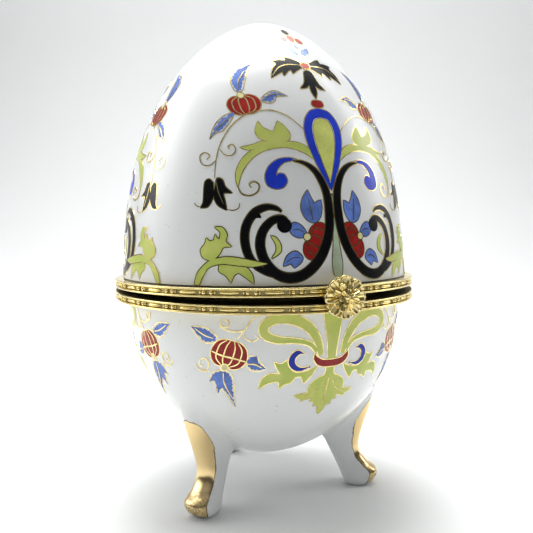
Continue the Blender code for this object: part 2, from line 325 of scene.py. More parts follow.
def hand_over(name, bm, body, materials, replaces=(), ajar=False, smooth=40.0):
    """Turns a mesh in millimetres into a finished piece that rides on a body"""
    bmesh.ops.scale(bm, vec=(MM, MM, MM), verts=bm.verts)
    if ajar:
        tip = Matrix.Rotation(-sizes().lid_ajar, 4, "X")
        about_hinge = Matrix.Translation(HINGE) @ tip @ Matrix.Translation(-HINGE)
        bmesh.ops.transform(bm, matrix=about_hinge, verts=bm.verts)
    mesh = bpy.data.meshes.new(name)
    bm.to_mesh(mesh)
    bm.free()
    for material in materials:
        mesh.materials.append(material)
    mesh.shade_smooth()
    mesh.set_sharp_from_angle(angle=math.radians(smooth))
    piece = add_to_scene(name, mesh)
    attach(piece, body)
    if replaces:
        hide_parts(*replaces)
    return piece


def turned(profile, steps):
    """A body turned about Z from (radius, height) points; an end on the axis becomes a pole"""
    bm = bmesh.new()
    verts = [bm.verts.new((radius, 0, z)) for radius, z in profile]
    open_ends = profile[0][0] == 0
    after = verts[1:] if open_ends else verts[1:] + verts[:1]
    edges = [bm.edges.new(pair) for pair in zip(verts, after)]
    bmesh.ops.spin(
        bm, geom=verts + edges, axis=(0, 0, 1), angle=2 * math.pi, steps=steps, use_merge=True
    )
    bmesh.ops.remove_doubles(bm, verts=bm.verts, dist=1e-4)
    bmesh.ops.recalc_face_normals(bm, faces=bm.faces)
    return bm


def arc(centre, radius, start, end, count):
    """Points on an arc of a (radius, height) profile, angles in degrees from outward"""
    points = []
    for step in range(count + 1):
        angle = math.radians(start + (end - start) * step / count)
        points.append((centre[0] + radius * math.cos(angle), centre[1] + radius * math.sin(angle)))
    return points


class EggFace:
    """The outer face of one half of the egg, with distances measured along it from the rim"""

    SAMPLES = 1200

    def __init__(self, rim_z, radius, reach, powers, taper, axes, drop, lean):
        self.rim_z = rim_z
        self.radius = radius
        self.reach = reach
        self.powers = powers
        self.taper = taper
        self.axes = [math.radians(axis) for axis in axes]
        self.drop = drop
        self.lean = lean
        self.rows = [(0.0, radius, rim_z)]
        for step in range(1, self.SAMPLES + 1):
            share = math.sin(math.pi / 2 * step / self.SAMPLES)
            r, z = self.radius_at(share), rim_z + reach * share
            along, r0, z0 = self.rows[-1]
            self.rows.append((along + math.hypot(r - r0, z - z0), r, z))
        self.length = self.rows[-1][0]

    def radius_at(self, share, inset=0.0):
        rise, power = self.powers
        dome = max(0.0, 1 - share**rise) ** (1 / power)
        return (self.radius - inset) * dome * (1 - self.taper * share)

    def profile(self, inset, count):
        """(radius, height) points from the rim to the pole, on the face or a wall further in"""
        reach = self.reach - math.copysign(inset, self.reach)
        points = []
        for step in range(count):
            share = math.sin(math.pi / 2 * step / count)
            points.append((self.radius_at(share, inset), self.rim_z + reach * share))
        return points + [(0.0, self.rim_z + reach)]

    def row(self, along):
        """(radius, height, slope of each) at a distance from the rim"""
        low, high = 0, len(self.rows) - 1
        while high - low > 1:
            middle = (low + high) // 2
            if self.rows[middle][0] <= along:
                low = middle
            else:
                high = middle
        (a0, r0, z0), (a1, r1, z1) = self.rows[low], self.rows[high]
        share = (along - a0) / (a1 - a0)
        slope = (r1 - r0) / (a1 - a0), (z1 - z0) / (a1 - a0)
        return r0 + (r1 - r0) * share, z0 + (z1 - z0) * share, *slope

    def place(self, across, along, proud, azimuth, side):
        """The point this far round from a motif's axis, this far from the rim and off the glaze"""
        radius, z, dr, dz = self.row(max(0.0, min(along, self.length * 0.999)))
        angle = azimuth + side * across / max(radius, 0.5)
        out = radius + proud * abs(dz)
        up = z - math.copysign(proud, dz) * dr
        return Vector((out * math.sin(angle), -out * math.cos(angle), up))


LID_RIM_Z = BOWL_RIM_Z + 3.9
LID = EggFace(
    LID_RIM_Z, radius=37.82, reach=66.8, powers=(2.77, 1.657), taper=0.082,
    axes=(0, 122.5, -115.5), drop=-0.35, lean=1.6,
)
BOWL = EggFace(
    BOWL_RIM_Z, radius=BOWL_RADIUS, reach=BOWL_BOTTOM_Z - BOWL_RIM_Z, powers=(2.47, 1.549), taper=0.0,
    axes=(0.8, 122.5, -115.5), drop=0.6, lean=0.0,
)
WALL = 3.0
SHEET = 0.6
FIT = 0.3
RIM_HEIGHT = 2.1
RIM_GAP = 0.4
NECK_RISE = 2.4
CHANNEL_DEPTH = 3.0
UPPER_FLANGE = 2.9
SEAT_FIT = 0.02


# Painted ornament ------------------------------------------------------------------------------
#
# A motif is drawn flat: x is the distance round the egg from the motif's axis, y the distance along
# the egg from the rim, both in millimetres. A third item in a point marks a sharp tip. Every motif
# is painted on both sides of its axis, and the axes stand about a third of a turn from each other.

LEAN_REACH = 24.0
AXIS_LEAN_SHARE = 0.55
CELL = 1.6
SUNK = 0.05
LAYER_STEP = 0.7
LINE_DROP = 0.02
BEZIER_STEPS = 5
STROKE_STEPS = 6
DISC_SIDES = 20
CURL_POINTS = 9
CURL_SHRINK = 0.75
JAG_PITCH = 1.15
JAG_DEPTH = 0.5
JAG_INSET = 0.15
TIP_REACH = 2.2
TIP_ANGLE = math.radians(50)


def stand(level):
    """How far enamel at this level stands off the glaze, mm"""
    return sizes().enamel_height * (1 + LAYER_STEP * level)


def curve_through(points, closed=False, steps=BEZIER_STEPS):
    """A smooth line through the points, with corners at the tips"""
    count = len(points)
    line = []
    for index in range(count if closed else count - 1):
        here, there = points[index], points[(index + 1) % count]
        start_free = len(here) > 2 or (not closed and index == 0)
        end_free = len(there) > 2 or (not closed and index == count - 2)
        before = here if start_free else points[index - 1]
        beyond = there if end_free else points[(index + 2) % count]
        a, b = Vector(here[:2]), Vector(there[:2])
        out = (b - Vector(before[:2])) / (3 if start_free else 6)
        back = (Vector(beyond[:2]) - a) / (3 if end_free else 6)
        line += interpolate_bezier(a, a + out, b - back, b, steps + 1)[:-1]
    if not closed:
        line.append(Vector(points[-1][:2]))
    return [Vector((point[0], point[1])) for point in line]


def band(outline, width):
    """The two edges of a line of this width drawn round a closed outline"""
    inner, outer = [], []
    for index, point in enumerate(outline):
        before, after = outline[index - 1], outline[(index + 1) % len(outline)]
        first, second = (point - before).normalized(), (after - point).normalized()
        side = Vector((first.y + second.y, -first.x - second.x))
        if side.length < 0.5:
            side = Vector((first.y, -first.x))
        push = side.normalized() * width / 2
        inner.append(point - push)
        outer.append(point + push)
    return inner + inner[:1], outer + outer[:1]


def jagged(outline):
    """The outline drawn in a little, with teeth along it that die away at its tips"""
    area = sum(a.cross(b) for a, b in zip(outline, outline[1:] + outline[:1]))
    inward = -1 if area > 0 else 1
    tips = []
    for index, point in enumerate(outline):
        first, second = point - outline[index - 1], outline[(index + 1) % len(outline)] - point
        if first.length > 1e-6 and second.length > 1e-6 and first.angle(second) > TIP_ANGLE:
            tips.append(point)
    teeth, run = [], 0.0
    for index, point in enumerate(outline):
        step = outline[(index + 1) % len(outline)] - point
        if step.length < 1e-6:
            continue
        side = Vector((step.y, -step.x)).normalized() * inward
        room = min([1.0] + [(point - tip).length / TIP_REACH for tip in tips])
        teeth.append(point + side * room * (JAG_INSET + JAG_DEPTH * ((run / JAG_PITCH) % 1.0)))
        run += step.length
    return teeth


def stroke_edges(points):
    """The two edges of a brush stroke through (x, y, width) points"""
    line = curve_through([point[:2] for point in points], steps=STROKE_STEPS)
    count = len(points) - 1
    left, right = [], []
    for index, point in enumerate(line):
        share = index / (len(line) - 1) * count
        low = min(int(share), count - 1)
        width = points[low][2] + (points[low + 1][2] - points[low][2]) * (share - low)
        along = line[min(index + 1, len(line) - 1)] - line[max(index - 1, 0)]
        side = Vector((-along.y, along.x)).normalized() * width / 2
        left.append(point + side)
        right.append(point - side)
    return left, right


def disc(x, y, radius):
    turns = [2 * math.pi * step / DISC_SIDES for step in range(DISC_SIDES)]
    return [Vector((x + radius * math.sin(turn), y + radius * math.cos(turn))) for turn in turns]


class Painting:
    """The flat shapes of one enamel on one half of the egg, wrapped round it when handed over"""

    def __init__(self, face):
        self.face = face
        self.flats = []

    def fill(self, outline, top, once=False):
        """A filled outline, painted once on each axis or on both sides of it"""
        bm = bmesh.new()
        edge = bm.faces.new([bm.verts.new((point.x, point.y, 0)) for point in outline])
        edge.normal_update()
        bmesh.ops.triangulate(bm, faces=[edge])
        self.cut_and_raise(bm, top, once)

    def ribbon(self, left, right, top, once=False):
        """A strip between two lines of as many points"""
        bm = bmesh.new()
        rows = [[bm.verts.new((point.x, point.y, 0)) for point in pair] for pair in zip(left, right)]
        for (a, b), (c, d) in zip(rows, rows[1:]):
            bm.faces.new((a, b, d, c))
        self.cut_and_raise(bm, top, once)

    def cut_and_raise(self, bm, top, once=False):
        """Cuts the flat shape into cells small enough to follow the egg, and gives it a thickness"""
        for axis in (Vector((1, 0, 0)), Vector((0, 1, 0))):
            values = [vert.co.dot(axis) for vert in bm.verts]
            for cell in range(math.floor(min(values) / CELL) + 1, math.ceil(max(values) / CELL)):
                geometry = bm.verts[:] + bm.edges[:] + bm.faces[:]
                bmesh.ops.bisect_plane(bm, geom=geometry, plane_co=axis * cell * CELL, plane_no=axis)
        bmesh.ops.remove_doubles(bm, verts=bm.verts, dist=1e-3)
        for face in bm.faces:
            face.normal_update()
            if face.normal.z < 0:
                face.normal_flip()
        out = bmesh.ops.extrude_face_region(bm, geom=bm.faces[:])
        raised = [item for item in out["geom"] if isinstance(item, bmesh.types.BMVert)]
        bmesh.ops.translate(bm, vec=(0, 0, 1), verts=raised)
        for face in bm.faces:
            face.normal_update()
        mesh = bpy.data.meshes.new("flat")
        bm.to_mesh(mesh)
        bm.free()
        self.flats.append((mesh, top, (1,) if once else (1, -1)))

    def wrap(self):
        """All shapes wrapped on the egg, on both sides of each motif's axis"""
        whole = bmesh.new()
        for mesh, top, sides in self.flats:
            for azimuth in self.face.axes:
                for side in sides:
                    start = len(whole.verts)
                    whole.from_mesh(mesh)
                    whole.verts.ensure_lookup_table()
                    for vert in whole.verts[start:]:
                        proud = top if vert.co.z > 0.5 else -SUNK
                        lean = 0.0
                        if side > 0:
                            lean = self.face.lean * max(0.0, 1 - vert.co.y / LEAN_REACH)
                        across = vert.co.x + (AXIS_LEAN_SHARE if len(sides) == 1 else 1.0) * lean
                        along = vert.co.y + self.face.drop
                        vert.co = self.face.place(across, along, proud, azimuth, side)
            bpy.data.meshes.remove(mesh)
        bmesh.ops.recalc_face_normals(whole, faces=whole.faces)
        return whole


class Palette:
    """One painting for each enamel of one half of the egg, and their gold lines"""

    def __init__(self, face, prefix, body, ajar):
        self.face = face
        self.prefix = prefix
        self.body = body
        self.ajar = ajar
        self.paintings = {}

    def painting(self, enamel):
        return self.paintings.setdefault(enamel, Painting(self.face))

    def shape(self, enamel, points, level=0, line=True):
        """A filled shape through its points, with a gold line round it"""
        outline = points if isinstance(points[0], Vector) else curve_through(points, closed=True)
        top = stand(level)
        self.painting(enamel).fill(outline, top)
        if line:
            self.painting("gold_lines").ribbon(*band(outline, 2 * sizes().line_width), top - LINE_DROP)

    def leaf(self, enamel, points, level=0):
        """A leaf with a jagged edge inside a smooth gold line"""
        outline = curve_through(points, closed=True)
        top = stand(level)
        self.painting(enamel).fill(jagged(outline), top)
        self.painting("gold_lines").ribbon(*band(outline, 1.1 * sizes().line_width), top - LINE_DROP)

    def axis_shape(self, enamel, half, level=0, line=True):
        """A shape astride the motif's axis, from the points of its right half, top to bottom"""
        right = curve_through(half)
        outline = right + [Vector((-point.x, point.y)) for point in reversed(right) if point.x > 1e-3]
        top = stand(level)
        self.painting(enamel).fill(outline, top, once=True)
        if line:
            edges = band(outline, 2 * sizes().line_width)
            self.painting("gold_lines").ribbon(*edges, top - LINE_DROP, once=True)

    def stroke(self, enamel, points, level=0):
        """A brush stroke through (x, y, width) points, with a gold line on both sides"""
        top = stand(level)
        self.painting(enamel).ribbon(*stroke_edges(points), top)
        wider = [(x, y, width + 2 * sizes().line_width) for x, y, width in points]
        self.painting("gold_lines").ribbon(*stroke_edges(wider), top - LINE_DROP)

    def dot(self, enamel, x, y, radius, level=0, line=True):
        self.shape(enamel, disc(x, y, radius), level, line)

    def line(self, points, width=0.24, level=1):
        """A single gold line, tapering at its ends"""
        last = len(points) - 1
        path = [
            (x, y, width * (0.6 if index in (0, last) else 1)) for index, (x, y) in enumerate(points)
        ]
        self.painting("gold_lines").ribbon(*stroke_edges(path), stand(level))

    def hand_over(self, materials):
        for enamel, painting in self.paintings.items():
            name = f"{self.prefix}_{enamel}"
            finish = [materials[enamel]]
            hand_over(name, painting.wrap(), self.body, finish, ajar=self.ajar)


def curl(centre, radius, start, turns):
    """(x, y) points of a small spiral from its outer end inward, angles in turns"""
    points = []
    for step in range(CURL_POINTS):
        share = step / (CURL_POINTS - 1)
        angle = 2 * math.pi * (start + turns * share)
        reach = radius * (1 - CURL_SHRINK * share)
        points.append((centre[0] + reach * math.cos(angle), centre[1] + reach * math.sin(angle)))
    return points


def ribbed_fruit(palette, centre, size, tilt, squash=0.8):
    """A red fruit with gold ribs and a cream eye"""
    lean = Matrix.Rotation(math.radians(tilt), 2)

    def at(x, y):
        point = lean @ Vector((x * size, y * size * squash))
        return centre[0] + point.x, centre[1] + point.y

    body = [
        at(0.0, 0.86), at(0.55, 0.92), at(0.98, 0.62), at(1.16, 0.08), at(0.98, -0.55), at(0.55, -0.88),
        at(0.0, -0.92), at(-0.55, -0.88), at(-0.98, -0.55),
        at(-1.16, 0.08), at(-0.98, 0.62), at(-0.55, 0.92),
    ]
    palette.shape("fruit_red", body)
    for reach in (-0.78, -0.3, 0.3, 0.78):
        ends = [at(reach * 0.25, 0.9), at(reach * 0.45, -0.9)]
        middle = [at(reach * 0.9, 0.5), at(reach, 0.0), at(reach * 0.9, -0.5)]
        palette.line(ends[:1] + middle + ends[1:], width=0.3)
    palette.dot("eye_cream", *at(0.0, 0.95), 0.2 * size, level=2)


def paint_teardrop(palette):
    """The tall royal-blue teardrop on the axis, with its green heart, bud, and stem"""
    palette.axis_shape("royal_blue", [
        (0, 41.0), (2.4, 40.2), (4.1, 37.9), (4.7, 34.8), (4.2, 31.2), (3.0, 27.6), (1.5, 24.2),
        (0, 21.3),
    ])
    palette.axis_shape("glaze_white", [
        (0, 38.6), (1.8, 38.0), (2.7, 35.8), (2.7, 33.2), (2.1, 29.8), (1.1, 26.2), (0, 23.0),
    ], level=1, line=False)
    palette.axis_shape("heart_green", [
        (0, 38.3), (1.6, 37.7), (2.4, 35.6), (2.4, 33.1), (1.85, 29.8), (0.95, 26.4), (0, 23.4),
    ], level=2)
    palette.axis_shape(
        "fruit_red", [(0, 43.2), (1.1, 43.0), (1.5, 42.3), (1.4, 41.7), (0.7, 41.3), (0, 41.2)]
    )
    palette.axis_shape("sage_green", [
        (0, 20.6), (0.2, 17.5), (0.4, 13.0), (0.8, 8.8), (1.25, 5.2), (1.05, 2.8), (0.45, 1.5),
        (0, 1.2),
    ])


def paint_scroll(palette):
    """The black scroll beside the axis, its outer hook, and the royal-blue comma above it"""
    palette.stroke("scroll_black", [
        (8.4, 27.9, 0.25), (6.2, 27.5, 0.7), (4.0, 26.1, 1.2), (2.3, 23.6, 1.5), (1.2, 20.3, 1.7),
        (0.9, 16.0, 1.9), (1.5, 11.0, 2.0), (3.6, 6.3, 2.1), (7.0, 3.0, 2.1), (10.4, 2.0, 2.1),
        (13.6, 2.9, 2.0), (16.0, 5.6, 1.9), (17.0, 9.0, 1.9), (16.3, 12.2, 1.7), (14.2, 14.5, 1.5),
        (12.0, 15.0, 1.4), (11.0, 14.1, 1.2),
    ], level=1.6)
    palette.dot("scroll_black", 11.5, 13.5, 1.65, level=1.6, line=False)
    palette.stroke("scroll_black", [
        (11.9, 16.5, 0.3), (13.2, 17.3, 0.9), (15.4, 17.5, 1.3), (17.9, 16.3, 1.6), (19.8, 13.5, 1.7),
        (20.3, 10.2, 1.7), (19.6, 7.0, 1.6), (18.0, 4.8, 1.4), (15.6, 3.2, 1.1), (12.6, 2.2, 0.6),
    ], level=1.5)
    palette.shape("scroll_black", [
        (18.6, 15.9), (16.8, 16.0), (16.4, 15.1, 1), (17.6, 15.1), (18.6, 14.4),
    ], level=1.5, line=False)
    palette.shape("leaf_green", [
        (14.6, 11.3, 1), (13.4, 10.8), (12.5, 9.2), (12.7, 7.6), (14.6, 6.3, 1), (13.6, 7.9),
        (13.6, 9.4),
    ])
    palette.shape("royal_blue", [
        (7.4, 28.2, 1), (9.6, 28.6), (12.0, 28.1), (13.9, 26.6), (14.9, 24.4), (14.6, 22.5),
        (13.0, 21.6), (11.2, 21.9), (10.2, 23.2), (10.6, 24.7), (11.7, 25.0), (12.5, 24.5, 1),
        (12.1, 25.9), (10.6, 27.4), (8.8, 27.9),
    ])


def paint_acanthus(palette):
    """The green leaf that springs from the teardrop and ends in a fine curl"""
    palette.shape("leaf_green", [
        (3.4, 28.3, 1), (5.2, 29.7), (8.0, 30.8), (11.0, 31.0), (14.4, 30.3), (17.4, 28.5),
        (19.8, 25.6), (21.2, 22.1, 1), (21.3, 25.0), (19.9, 28.0), (17.6, 30.1), (16.4, 30.7, 1),
        (18.0, 30.5), (19.7, 31.1, 1), (17.0, 31.6), (14.8, 32.4), (13.4, 32.4, 1), (15.2, 33.3),
        (15.8, 35.0), (14.9, 37.3, 1), (14.2, 35.9), (13.0, 35.1), (11.9, 34.6, 1), (11.3, 35.7),
        (10.5, 37.3, 1), (9.2, 36.0), (8.3, 34.3), (8.6, 32.9), (9.8, 32.3, 1), (7.0, 32.2),
        (4.6, 31.0),
    ])
    palette.line([
        (21.2, 22.4), (20.4, 20.6), (18.6, 20.1), (16.9, 20.9), (16.4, 22.4), (17.4, 23.2),
        (18.5, 22.7), (18.2, 21.8),
    ], width=0.42)


def paint_scroll_fruit(palette):
    """The fruit that hangs in the scroll, with its blue leaves"""
    palette.shape("leaf_blue", [
        (6.4, 14.8), (7.5, 16.9), (7.1, 19.3), (5.8, 21.3, 1), (5.1, 19.6), (4.3, 18.2, 1), (3.7, 18.7),
        (2.8, 19.0, 1), (2.7, 17.0), (3.4, 14.9), (4.8, 14.1),
    ])
    palette.shape("leaf_blue", [
        (6.6, 11.4), (7.6, 13.3), (9.3, 14.1), (10.3, 12.9), (9.8, 11.5), (8.2, 10.8),
    ])
    palette.shape("leaf_blue", [
        (7.8, 6.6), (9.3, 7.8), (11.2, 6.8), (12.1, 4.6, 1), (10.4, 5.2, 1), (9.6, 4.2, 1), (8.1, 5.4),
    ])
    ribbed_fruit(palette, (4.3, 9.9), 3.7, -65.0, 0.7)
    palette.line([(5.0, 14.6), (5.3, 16.6), (5.7, 19.4)], level=2)
    palette.line([(7.2, 12.0), (8.6, 12.6), (9.6, 12.4)], level=2)
    palette.line([(8.4, 6.4), (9.8, 6.4), (11.4, 5.4)], level=2)


def paint_shoulder(palette):
    """The gold tendril over the shoulder, with its fruit, blue leaves and black bellflower"""
    palette.line([
        (4.9, 35.6), (7.6, 38.4), (10.6, 39.9), (13.4, 40.1), (17.0, 39.3), (20.8, 36.6), (23.8, 32.7),
        (25.5, 28.6), (26.3, 24.2),
    ], width=0.3, level=0)
    palette.line([
        (24.4, 30.8), (23.4, 29.5), (21.8, 29.3), (20.8, 30.5), (21.3, 31.8), (22.4, 31.5),
        (22.2, 30.7),
    ], width=0.28)
    palette.line([
        (25.7, 28.2), (27.3, 27.1), (29.1, 27.6), (29.4, 29.4), (28.1, 30.2), (27.0, 29.4),
        (27.8, 28.5),
    ], width=0.28)
    palette.leaf("leaf_blue", [
        (19.9, 39.7), (22.6, 38.9), (25.1, 36.6), (26.6, 33.4, 1), (24.9, 34.7), (23.3, 35.1, 1),
        (21.3, 37.2),
    ])
    palette.leaf("leaf_blue", [
        (18.4, 45.3), (19.2, 47.6), (18.7, 50.1), (16.6, 52.4), (12.6, 54.1, 1), (14.4, 51.6),
        (15.0, 50.2, 1), (15.9, 48.0), (16.9, 45.6),
    ])
    palette.leaf("leaf_blue", [
        (13.2, 42.7), (12.0, 44.4), (9.6, 45.4), (6.9, 44.0, 1), (9.4, 43.8), (10.1, 42.6),
        (11.6, 42.0),
    ])
    ribbed_fruit(palette, (17.3, 41.7), 3.35, -7.0)
    palette.line([(20.8, 38.6), (22.9, 37.2), (25.4, 34.9)], level=2)
    palette.line([(17.8, 46.0), (17.3, 48.4), (15.4, 51.2)], level=2)
    palette.line([(12.6, 43.0), (11.0, 44.2), (8.6, 44.5)], level=2)
    palette.shape("scroll_black", [
        (26.7, 23.2, 1), (27.6, 24.0), (28.7, 23.3), (29.1, 21.2), (29.4, 18.9), (30.1, 17.6, 1),
        (28.4, 17.8), (27.3, 19.2), (26.7, 20.6),
    ])
    palette.shape("scroll_black", [
        (26.2, 22.6), (25.7, 24.1), (24.5, 23.8), (23.9, 22.2), (22.5, 20.8, 1), (24.4, 20.7),
        (24.2, 19.0), (24.0, 17.0, 1), (26.0, 18.2), (26.8, 20.4),
    ])
    palette.line([(25.9, 23.3), (25.6, 21.0), (24.6, 18.3)], level=1)
    palette.line([(30.0, 17.8), (31.0, 18.0), (31.7, 18.7)])
    palette.line([(24.0, 17.2), (22.6, 16.9), (21.3, 17.4), (21.0, 18.5)])


def paint_crown(palette):
    """The black leaf cluster over the teardrop, and the small flowers that climb to the tip"""
    palette.shape("scroll_black", [
        (0.9, 54.3), (2.6, 55.6), (4.6, 56.4, 1), (4.7, 55.0, 1), (6.2, 55.1), (7.8, 54.7, 1),
        (7.3, 53.6), (8.6, 51.8), (9.5, 49.1, 1), (7.7, 50.3), (6.4, 51.2, 1), (6.3, 49.9, 1),
        (5.0, 51.3), (4.2, 51.8, 1), (3.9, 50.7, 1), (2.6, 51.8), (1.0, 53.0),
    ])
    palette.line([(1.2, 53.6), (4.4, 53.6), (6.9, 52.5), (9.0, 49.9)], width=0.3, level=1)
    palette.axis_shape("scroll_black", [
        (0, 52.2), (1.0, 51.6), (1.4, 50.0), (2.0, 47.9), (3.3, 46.3, 1), (1.7, 46.6), (0.8, 47.4, 1),
        (0.7, 45.4), (0, 43.6),
    ])
    palette.axis_shape(
        "crown_pink", [(0, 54.6), (0.9, 54.3), (1.1, 53.5), (0.7, 52.8), (0, 52.6)], level=1
    )
    palette.shape("crown_pale", [
        (0.3, 57.6), (1.5, 57.4), (2.6, 58.9), (3.0, 60.6, 1), (1.7, 60.0), (0.7, 59.4),
    ])
    palette.axis_shape("crown_pale", [(0, 62.2, 1), (0.7, 61.0), (0.7, 60.2), (0, 59.8)])
    palette.axis_shape("crown_pink", [(0, 66.6), (0.8, 65.8), (0.8, 63.8), (0, 62.9)])
    palette.shape("crown_pink", [
        (1.3, 65.0), (2.2, 65.1), (2.8, 64.0), (2.6, 62.9), (1.7, 63.0), (1.2, 64.0),
    ])
    palette.axis_shape("scroll_black", [(0, 70.6, 1), (0.7, 69.2), (0.6, 67.8), (0, 67.0)])


def paint_corner_leaves(palette):
    """The green leaf that climbs from the rim outside the scroll, with its branch and hanging leaf"""
    palette.shape("leaf_green", [
        (32.3, 0.6, 1), (31.4, 3.2), (29.4, 5.2), (28.3, 5.9, 1), (30.0, 6.6), (30.5, 8.2), (29.4, 9.6),
        (29.0, 10.8, 1), (28.2, 10.2), (27.2, 10.4, 1), (26.9, 11.6, 1), (26.4, 10.8), (25.9, 10.6, 1),
        (25.7, 12.1), (26.9, 13.3, 1), (25.1, 13.1), (24.2, 11.6), (24.5, 10.1), (23.3, 9.0, 1),
        (25.1, 8.8), (25.9, 7.6), (27.1, 6.3, 1), (24.2, 6.7), (20.4, 6.2), (15.6, 5.2, 1), (18.6, 4.6),
        (22.2, 4.9), (25.6, 5.2), (28.6, 4.4), (30.2, 2.4), (31.2, 0.6),
    ], level=2.6)
    palette.shape("leaf_green", [
        (25.9, 5.2), (26.3, 3.6), (24.8, 2.6), (23.7, 1.1, 1), (23.0, 2.6), (22.0, 3.3, 1), (20.6, 2.4),
        (18.6, 0.8, 1), (19.0, 3.0), (20.6, 4.7), (23.2, 5.2),
    ])


def paint_fleur(palette):
    """The ribbon fleur under the clasp: stem, loops, red band, blue crescents and fringed leaves"""
    palette.shape("leaf_green", [
        (3.6, 13.3, 1), (6.0, 14.4), (8.6, 14.5), (9.9, 13.2), (10.5, 11.2, 1), (12.0, 12.2),
        (13.6, 11.8, 1), (12.8, 13.4), (11.9, 14.8, 1), (14.4, 14.6), (16.1, 16.2), (16.3, 18.6, 1),
        (14.8, 17.2), (12.6, 16.6), (11.9, 16.9, 1), (11.8, 18.4, 1), (10.6, 17.4), (9.4, 17.0),
        (8.4, 15.6, 1), (7.0, 15.7), (6.2, 17.4, 1), (5.0, 15.9), (4.2, 14.7),
    ])
    palette.stroke("leaf_green", [
        (2.8, 10.6, 1.1), (3.9, 7.0, 1.7), (6.2, 3.8, 2.1), (9.6, 2.0, 2.2), (13.2, 1.7, 2.0),
        (16.1, 3.1, 1.9), (16.0, 5.3, 1.8), (13.2, 6.5, 1.5), (9.2, 6.8, 1.0), (5.8, 7.7, 0.9),
        (3.9, 9.6, 0.9),
    ], level=1)
    palette.axis_shape("leaf_green", [
        (0, 0.7), (2.2, 0.7), (2.1, 3.0), (1.6, 6.0), (1.2, 9.0), (1.0, 13.0), (1.2, 15.6), (2.7, 16.3),
        (4.2, 17.6), (4.9, 19.4, 1), (4.4, 20.2, 1), (5.6, 20.3), (7.8, 20.7, 1), (6.8, 21.5),
        (6.0, 21.7, 1), (5.8, 22.5, 1), (4.6, 22.0), (3.4, 21.8, 1), (3.5, 22.9, 1), (2.7, 22.9),
        (2.2, 23.2, 1), (2.3, 24.5, 1), (1.4, 24.3), (0.9, 24.9, 1), (0.8, 25.9), (0, 27.6),
    ])
    palette.shape("crescent_blue", [
        (6.9, 9.9, 1), (8.4, 9.1), (9.9, 10.0), (10.4, 11.9), (9.3, 13.6), (7.4, 14.1), (5.2, 13.2, 1),
        (7.4, 13.3), (8.8, 12.3), (8.9, 10.9), (8.0, 10.0),
    ], level=1)
    palette.axis_shape("fruit_red", [
        (0, 11.9), (2.2, 11.7), (3.7, 10.9), (4.4, 10.1, 1), (4.5, 11.4), (3.5, 12.8), (1.8, 13.4),
        (0, 13.5),
    ], level=2)
    palette.line([(0.1, 16.4), (0.1, 20.0), (0.1, 24.6)], width=0.18)
    palette.line([(1.2, 17.4), (2.6, 19.6), (5.4, 21.4)], width=0.18)


def paint_bowl_fruit(palette):
    """The fruit either side of the fleur, with its blue leaves, gold curls and tendril"""
    palette.leaf("leaf_blue", [
        (27.2, 7.2), (29.6, 7.6), (31.4, 6.6), (33.6, 4.0, 1), (31.2, 3.9), (29.0, 4.3), (27.0, 5.9),
    ])
    palette.leaf("leaf_blue", [
        (20.0, 11.4), (19.2, 10.3), (17.6, 10.3, 1), (16.9, 11.6), (15.3, 13.3, 1), (17.4, 14.0),
        (19.4, 13.2),
    ])
    palette.leaf("leaf_blue", [
        (25.6, 14.0), (27.6, 14.8), (28.2, 17.3, 1), (26.9, 16.8, 1), (26.4, 18.6), (25.6, 20.4, 1),
        (24.9, 18.6, 1), (23.3, 20.8), (20.8, 24.1, 1), (21.4, 20.6), (21.9, 19.0, 1), (22.4, 16.4),
        (23.8, 14.3),
    ])
    ribbed_fruit(palette, (24.0, 10.0), 3.7, -14.0, 0.94)
    palette.line([(28.1, 9.4), (25.6, 10.3), (22.8, 10.9), (20.1, 11.6)], width=0.4, level=2)
    palette.line([(25.0, 14.6), (24.4, 17.4), (21.8, 21.6)], width=0.3, level=2)
    palette.line([(27.8, 6.4), (30.0, 5.8), (32.4, 4.4)], width=0.3, level=2)
    palette.line([(19.6, 12.2), (18.0, 12.2), (16.4, 13.0)], width=0.3, level=2)
    palette.line(curl((30.2, 12.6), 2.1, 0.02, 1.35), width=0.26)
    palette.line([(28.2, 14.2), (29.2, 14.6), (31.0, 14.3)], width=0.24)
    palette.line(curl((25.0, 2.7), 1.4, -0.1, 1.2), width=0.28)
    palette.line([
        (26.3, 3.6), (23.8, 4.6), (20.8, 4.4), (19.4, 2.4), (17.6, 1.0), (15.0, 0.6),
    ], width=0.34)
    palette.line([(20.8, 4.2), (20.6, 6.0), (19.0, 6.8), (17.6, 6.2), (18.2, 5.4)], width=0.28)
    palette.line([(22.4, 6.4), (21.6, 5.6), (20.9, 4.4)], width=0.28)


# Pieces ----------------------------------------------------------------------------------------


def porcelain_shell(name, face, body, node, ajar):
    """One half of the egg, glazed outside and inside"""
    bm = turned(face.profile(0.0, 64)[::-1] + face.profile(WALL, 36), 192)
    glaze = [glaze_material(name + "_glaze")]
    hand_over(name, bm, body, glaze, replaces=[node], ajar=ajar)


FOOT_LEVELS = (
    (0.0, 23.4, 28.3, 2.4), (0.5, 22.5, 29.3, 3.0), (1.5, 21.9, 30.4, 3.5), (3.0, 21.3, 31.3, 3.7),
    (4.4, 20.7, 31.0, 3.6), (6.2, 19.8, 28.8, 3.3), (8.4, 18.7, 26.9, 3.1), (11.0, 17.4, 26.3, 3.15),
    (14.0, 15.8, 26.8, 3.45), (17.5, 14.2, 27.9, 3.8), (21.0, 13.0, 29.1, 4.1), (25.0, 12.0, 30.1, 4.2),
    (29.0, 12.0, 31.1, 3.9), (32.0, 14.0, 31.7, 3.2),
)
FOOT_AZIMUTHS = {"foot_left": -60.0, "foot_right": 60.0, "foot_rear": 180.0}
FOOT_LEANS = {"foot_left": -4.0, "foot_right": 4.0, "foot_rear": 0.0}
FOOT_ROOT = 2.2
FOOT_SIDES = 48
FOOT_RINGS = 70
FOOT_SQUARENESS = 0.72
